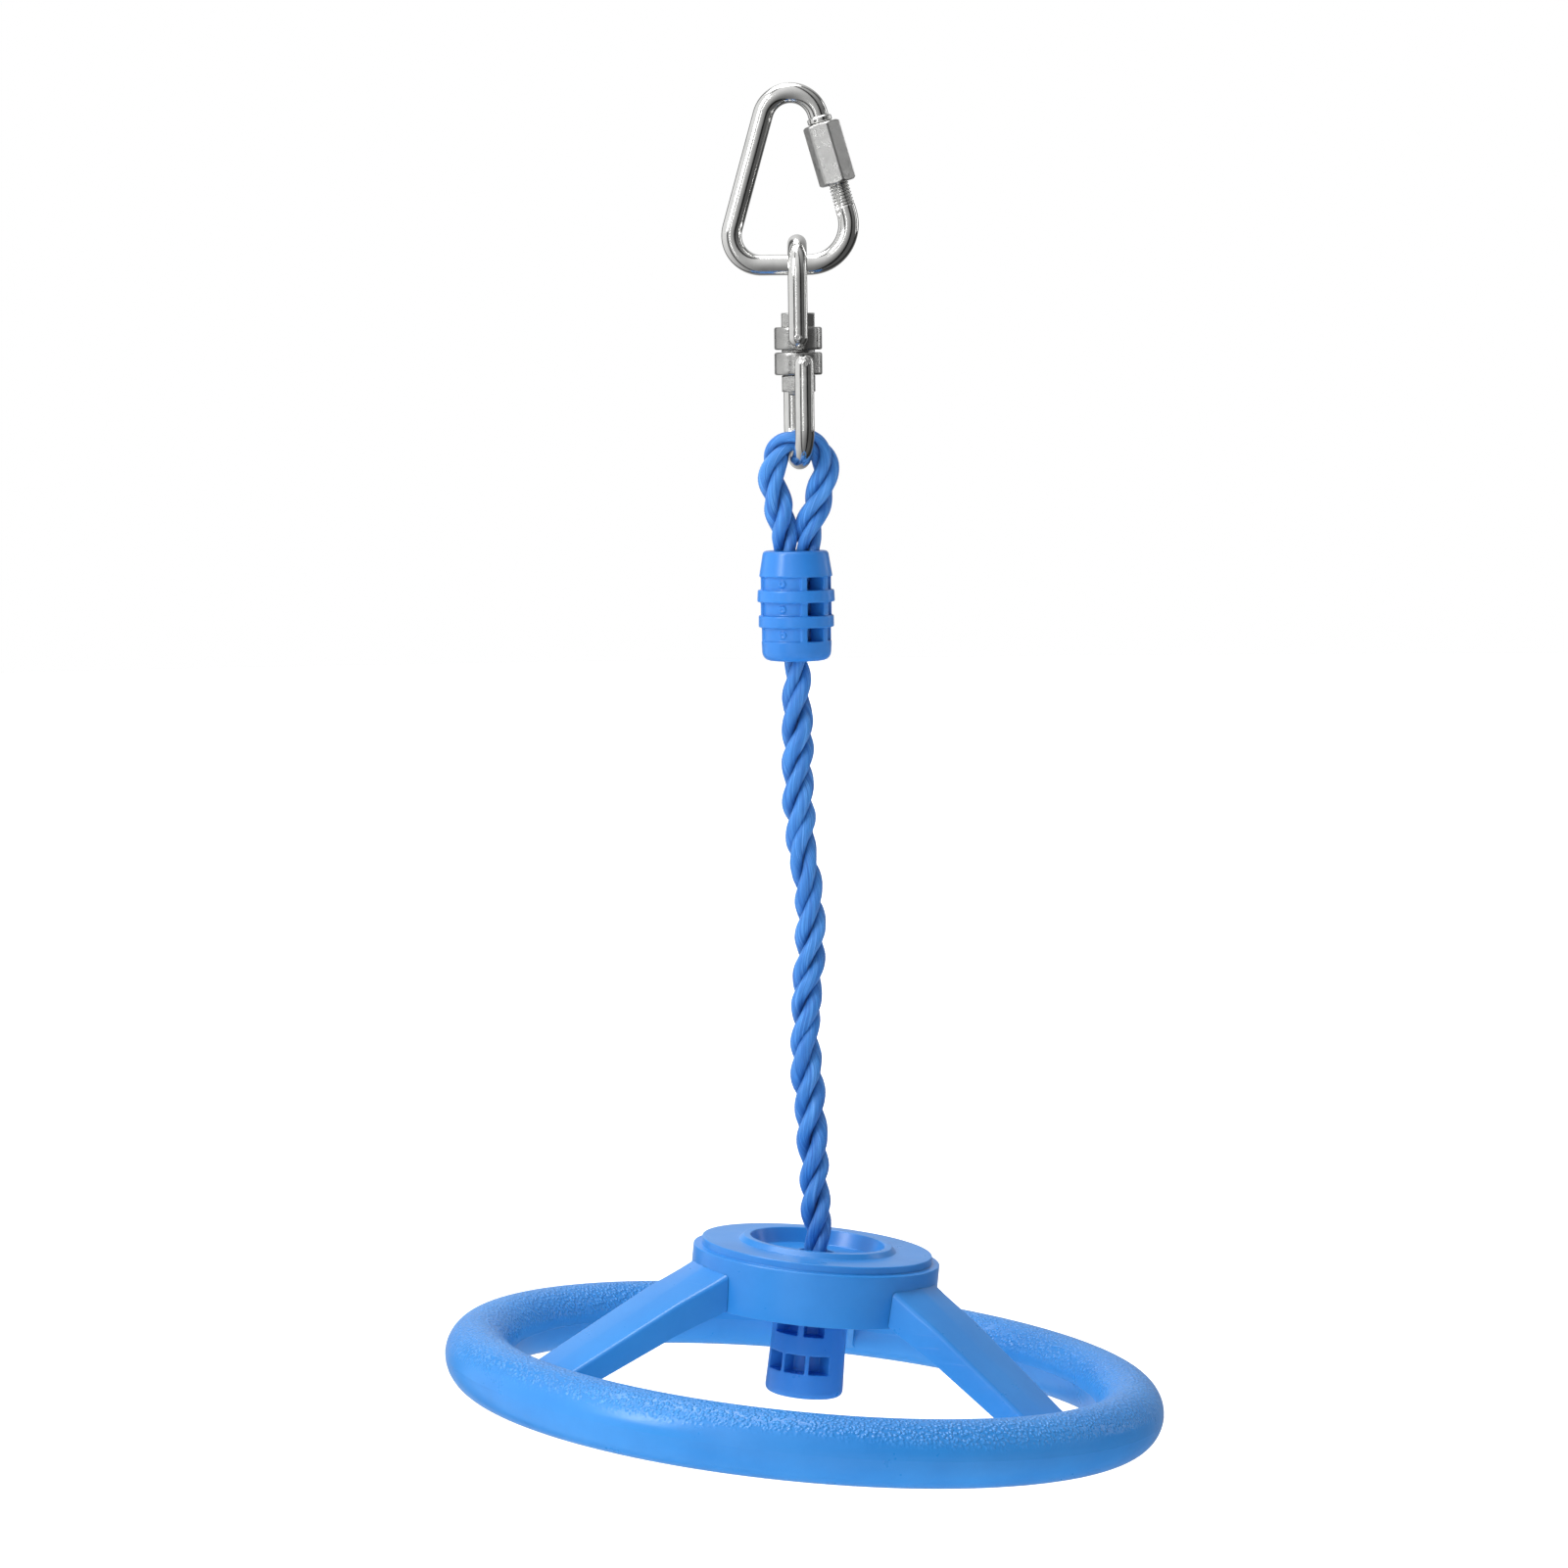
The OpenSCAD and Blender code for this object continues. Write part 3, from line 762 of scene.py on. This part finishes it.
LEAN = math.radians(15.8)
LINK_R = 4.0
BOW_R = 11
bow = Vector((0, 0, -7))
leg_top = bow + Vector((math.cos(LEAN), 0, math.sin(LEAN))) * BOW_R
leg_down = Vector((math.sin(LEAN), 0, -math.cos(LEAN)))
BAR_Z = -62.4
foot_x = leg_top.x + (leg_top.z - BAR_Z) * math.tan(LEAN)


def link_corner(r, side):
    """Points round a bottom corner, from the bar up to the leg."""
    centre = Vector((foot_x - r * (math.tan(LEAN) + 1 / math.cos(LEAN)), 0, BAR_Z + r))
    out = []
    for k in range(25):
        a = math.radians(-90) + (math.radians(90) + LEAN) * k / 24
        out.append(centre + Vector((math.cos(a), 0, math.sin(a))) * r)
    return [Vector((side * p.x, 0, p.z)) for p in out]


def line(a, b, step):
    n = max(1, round((b - a).length / step))
    return [a.lerp(b, k / n) for k in range(n)]


def make_link():
    gate, plain = link_corner(15.5, 1), link_corner(11.5, -1)
    mirror = Vector((-leg_top.x, 0, leg_top.z))
    arc = []
    for k in range(37):
        a = math.pi - LEAN - (math.pi - 2 * LEAN) * k / 36
        arc.append(bow + Vector((math.cos(a), 0, math.sin(a))) * BOW_R)
    # the rod's two ends, which face each other inside the sleeve
    lower, upper = leg_top + leg_down * 16, leg_top + leg_down * 8
    path = line(lower, gate[-1], 0.2) + list(reversed(gate[1:])) \
        + line(gate[0], plain[0], 1.5) + plain[:-1] + line(plain[-1], mirror, 1.5) \
        + arc[:-1] + line(arc[-1], upper, 0.2) + [upper]

    def radius(i, angle):
        p = path[i]
        r = LINK_R
        if p.x > 8 and -47 < p.z < -3:
            s = (p - leg_top).dot(leg_down)
            if 1.5 < s < 3.9:
                # the raised ring that the sleeve stops against
                return 4.85 - 0.35 * (max(0, 1 - (s - 1.5) / 0.5)
                                      + max(0, 1 - (3.9 - s) / 0.5))
            threaded = smoothstep(3.9, 4.5, s) * smoothstep(8.1, 7.6, s) if s < 12 else \
                smoothstep(16, 16.8, s) * smoothstep(38.5, 35.5, s)
            turn = (s / 1.25 - angle / math.tau) % 1
            r -= threaded * 0.55 * (0.5 + 0.5 * math.cos(math.tau * turn))
            if 26 < s < 42.5:
                # the thread's end, cut away to a point towards the front and outside
                a = (angle - math.radians(-38) + math.pi) % math.tau - math.pi
                half = 0.95 * (1 - (s - 26) / 16.5)
                r -= 1.15 * smoothstep(half + 0.16, half - 0.10, abs(a)) \
                    * smoothstep(42.4, 39, s)
        return r

    return tube("link_rod", path, Vector((0, 1, 0)), radius, 64, polished)


def leg_frame(s):
    """The gate-side leg's frame at a distance down it: Z down the leg, X outwards."""
    z = leg_down
    x = Vector((math.cos(LEAN), 0, math.sin(LEAN)))
    y = z.cross(x)
    at = leg_top + leg_down * s
    return Matrix.Translation(at) @ Matrix((x, y, z)).transposed().to_4x4()


link = make_link()
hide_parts("link_body")
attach(link, "link")
sleeve = hexagon("sleeve_nut", 13, 0, 24, 4.1, brushed, leg_frame(4.1), turn=-17.6)
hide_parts("link_sleeve")
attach(sleeve, "sleeve")

SWIVEL_X = 2.0
BAIL_R, BAIL_HALF = 3.75, 13.3
UPPER_PIN_Z, LOWER_PIN_Z = -90.6, -100.7
UPPER_TURN_Z, LOWER_TURN_Z = -67.65, -138.1 + 13.3      # the middles of the bails' bows
LOWER_TURN = 9.4                                        # degrees, of the lower half


def make_bail(name, pin_z, reach, turn, flip):
    """A bail whose pins are at pin_z and whose bow's middle is reach beyond them."""
    straight = [Vector((0, BAIL_HALF, 0)), Vector((0, BAIL_HALF, reach))]
    arc = []
    for k in range(1, 48):
        a = math.pi * k / 48
        arc.append(Vector((0, BAIL_HALF * math.cos(a), reach + BAIL_HALF * math.sin(a))))
    end = [Vector((0, BAIL_HALF, -z)) for z in (3.74, 3.6, 3.3, 2.9, 2.3, 1.5, 0.7)]
    down = [Vector((0, -p.y, p.z)) for p in reversed(end)]
    path = end + line(straight[0], straight[1], 1.2) + [straight[1]] + arc \
        + line(Vector((0, -BAIL_HALF, reach)), Vector((0, -BAIL_HALF, 0)), 1.2) \
        + [Vector((0, -BAIL_HALF, 0))] + down

    def radius(i, angle):
        z = path[i].z
        r = BAIL_R
        if z < 0:
            r = math.sqrt(max(0.02, BAIL_R ** 2 - z * z))
        # the neck where the leg was pressed out to take its pin
        sideways = 0.5 - 0.5 * math.cos(angle * 2 - math.pi)
        return r * (1 - 0.045 * math.exp(-((z - 4.6) / 0.7) ** 2) * sideways)

    at = Matrix.Translation((SWIVEL_X, 0, pin_z)) @ Matrix.Rotation(math.radians(turn), 4, "Z") \
        @ Matrix.Rotation(math.pi if flip else 0, 4, "X")
    bail = tube(name, [at @ p for p in path], at.to_3x3() @ Vector((1, 0, 0)), radius, 56,
                polished)
    pins = []
    for side in (-1, 1):
        end_name = "back" if side > 0 else "front"
        pin_at = at @ Matrix.Rotation(math.radians(-90 * side), 4, "X")
        pins.append(lathe(f"{name}_pin_{end_name}",
                          [(0.01, 5.2), (2.6, 5.2), (2.9, 5.5), (2.9, 12), (0.01, 12)],
                          40, turned_steel, at=pin_at))
        pins.append(lathe(f"{name}_dot_{end_name}",
                          [(0.01, 16.9), (0.5, 17.02), (0.8, 17.10), (1.25, 17.04), (1.5, 16.75),
                           (1.55, 16.3), (0.01, 16.3)], 32, polished, at=pin_at))
    return bail, pins


upper_bail, upper_pins = make_bail("upper_bail_rod", UPPER_PIN_Z,
                                   UPPER_TURN_Z - UPPER_PIN_Z, 0, False)
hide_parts("upper_bail")
lower_bail, lower_pins = make_bail("lower_bail_rod", LOWER_PIN_Z,
                                   LOWER_PIN_Z - LOWER_TURN_Z, LOWER_TURN, True)
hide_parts("lower_bail")
for piece in (upper_bail, *upper_pins):
    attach(piece, "upper_loop")
for piece in (lower_bail, *lower_pins):
    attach(piece, "lower_loop")


def make_collar(name, top, turn):
    """A turned collar with a flat at the front and back, where the bails' legs pass."""
    outline = densify(rounded([(4.1, 0, 0.3), (9.3, 0, 0.8), (9.3, -8.8, 0.8),
                               (4.1, -8.8, 0.3)], closed=True, steps=6), 0.8)
    sides = 160
    points = []
    for r, h in outline:
        for k in range(sides):
            a = math.tau * k / sides
            x, y = r * math.cos(a), r * math.sin(a)
            limit = 9.08 - 0.12 * smoothstep(8.2, 8.8, abs(h + 4.4) + 4.4)
            points.append((x, max(-limit, min(limit, y)), h))
    at = Matrix.Translation((SWIVEL_X, 0, top)) @ Matrix.Rotation(math.radians(turn), 4, "Z")
    return mesh(name, points, grid_faces(len(outline), sides, wrap_rows=True), turned_steel, at=at)


upper_collar = make_collar("upper_collar_ring", -86.5, 0)
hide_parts("upper_collar")
lower_collar = make_collar("lower_collar_ring", -96.3, LOWER_TURN)
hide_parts("lower_collar")
swivel_at = Matrix.Translation((SWIVEL_X, 0, 0))
head = hexagon("bolt_head", 13, -86.45, -81.0, 0.05, turned_steel, swivel_at, ends=(False, True))
shank = lathe("bolt_shank", rounded([(0.01, -86.6, 0), (3.99, -86.6, 0), (3.99, -110.6, 0),
                                     (3.99, -112.3, 0.2), (3.2, -113.0, 0.3), (0.01, -113.05, 0)]),
              64, turned_steel, at=swivel_at)
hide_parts("swivel_bolt")
nut = hexagon("swivel_nut_hex", 13, -111.65, -105.2, 4.02, turned_steel, swivel_at)
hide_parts("swivel_nut")
washer = lathe("thrust_washer", rounded([(4.02, -95.32, 0.1), (6.5, -95.32, 0.2),
                                         (6.5, -96.23, 0.2), (4.02, -96.23, 0.1)],
                                        closed=True),
               96, turned_steel, at=swivel_at, closed=True)
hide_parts("swivel_washer")
for piece in (upper_collar, head, shank, nut, washer):
    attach(piece, "upper_block")
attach(lower_collar, "lower_block")


# ---------------------------------------------------------------- studio

FLOOR_Z = -760


def make_floor():
    material, add, join = shader("floor", (0.93, 0.93, 0.93), 0.9)
    place = add("TexCoord").outputs["Object"]
    join(ramp(add, noise(add, place, 3, 2), 0.3, 0.7, 0.85, 0.95), "Roughness")
    bsdf = material.node_tree.nodes["Principled BSDF"]
    bsdf.inputs["Emission Color"].default_value = (1, 1, 1, 1)
    # it glows a little, more with distance, so that it runs into the backdrop
    distance = add("VectorMath", {"operation": "LENGTH"}, i0=place).outputs["Value"]
    join(ramp(add, distance, 0.9, 3.0, 0.35, 0.95), "Emission Strength")
    floor = lathe("floor", [(0.01, 0), (2000, 0), (9000, 0)], 96, material,
                  at=Matrix.Translation((0, 0, FLOOR_Z)))
    floor.visible_glossy = False


# The room from behind the object, round by its left and the camera to behind it again, as
# (share of the turn, brightness): pale screens, and dark gaps that the steel mirrors
SCREENS = ((0.0, 0.85), (0.06, 0.85), (0.085, 0.10), (0.115, 0.10), (0.14, 0.9),
           (0.335, 0.9), (0.36, 0.08), (0.385, 0.08), (0.41, 0.95), (0.56, 1.0),
           (0.585, 0.06), (0.615, 0.06), (0.64, 0.7), (0.74, 0.7), (0.79, 0.20),
           (0.83, 0.20), (0.88, 0.55), (0.95, 0.80), (1.0, 0.85))


def make_world():
    """The room that lights the object. The camera itself sees plain white behind it."""
    world = bpy.data.worlds.new("studio")
    scene.world = world
    world.use_nodes = True
    tree = world.node_tree
    add = adder(tree)
    way = add("TexCoord").outputs["Generated"]
    # darkest behind the camera and on the right, brightest on the upper left
    brightest = Vector((-0.72, 0.10, 0.60)).normalized()
    aim = add("VectorMath", {"operation": "DOT_PRODUCT"}, i0=way, i1=brightest)
    side = add("MapRange", {"interpolation_type": "SMOOTHSTEP"}, Value=aim.outputs["Value"],
               From_Min=-0.9, From_Max=0.95, To_Min=0.14, To_Max=1.0).outputs[0]
    split = add("SeparateXYZ", None, i0=way)
    bearing = add("Math", {"operation": "ARCTAN2"}, i0=split.outputs[0],
                  i1=times(add, split.outputs[1], -1.0)).outputs[0]
    room = add("ValToRGB", None, i0=ramp(add, bearing, -math.pi, math.pi))
    room.color_ramp.interpolation = "EASE"
    stops = room.color_ramp.elements
    stops.remove(stops[1])
    for k, (share, grey) in enumerate(SCREENS):
        stop = stops[0] if k == 0 else stops.new(share)
        stop.position = share
        stop.color = (grey, grey, grey, 1)
    seen = add("LightPath").outputs["Is Camera Ray"]
    strength = add("Mix", None, i0=seen, i2=times(add, side, room.outputs[0]), i3=1.0)
    back = tree.nodes["Background"]
    back.inputs["Color"].default_value = (1, 1, 1, 1)
    tree.links.new(strength.outputs[0], back.inputs["Strength"])


def lamp(name, place, size, power):
    """An area light at place, in metres, that looks at the middle of the object."""
    data = bpy.data.lights.new(name, "AREA")
    data.shape, data.size, data.size_y, data.energy = "RECTANGLE", *size, power
    ob = bpy.data.objects.new(name, data)
    ob.location = place
    ob.rotation_mode = "QUATERNION"
    ob.rotation_quaternion = (Vector((0, 0, -0.3)) - Vector(place)).to_track_quat("-Z", "Y")
    scene.collection.objects.link(ob)


make_floor()
make_world()
lamp("key", (-1.5, -1.2, 0.9), (0.5, 1.4), 25)
lamp("top", (-0.3, 0.3, 1.5), (1.2, 1.2), 25)
lamp("left_strip", (-0.75, -2.0, 0.2), (0.05, 1.6), 1.6)
lamp("right_panel", (1.8, 0.15, 0.1), (0.4, 1.0), 0.9)
lamp("rim_light", (1.5, 0.9, 0.3), (0.3, 1.2), 2.5)
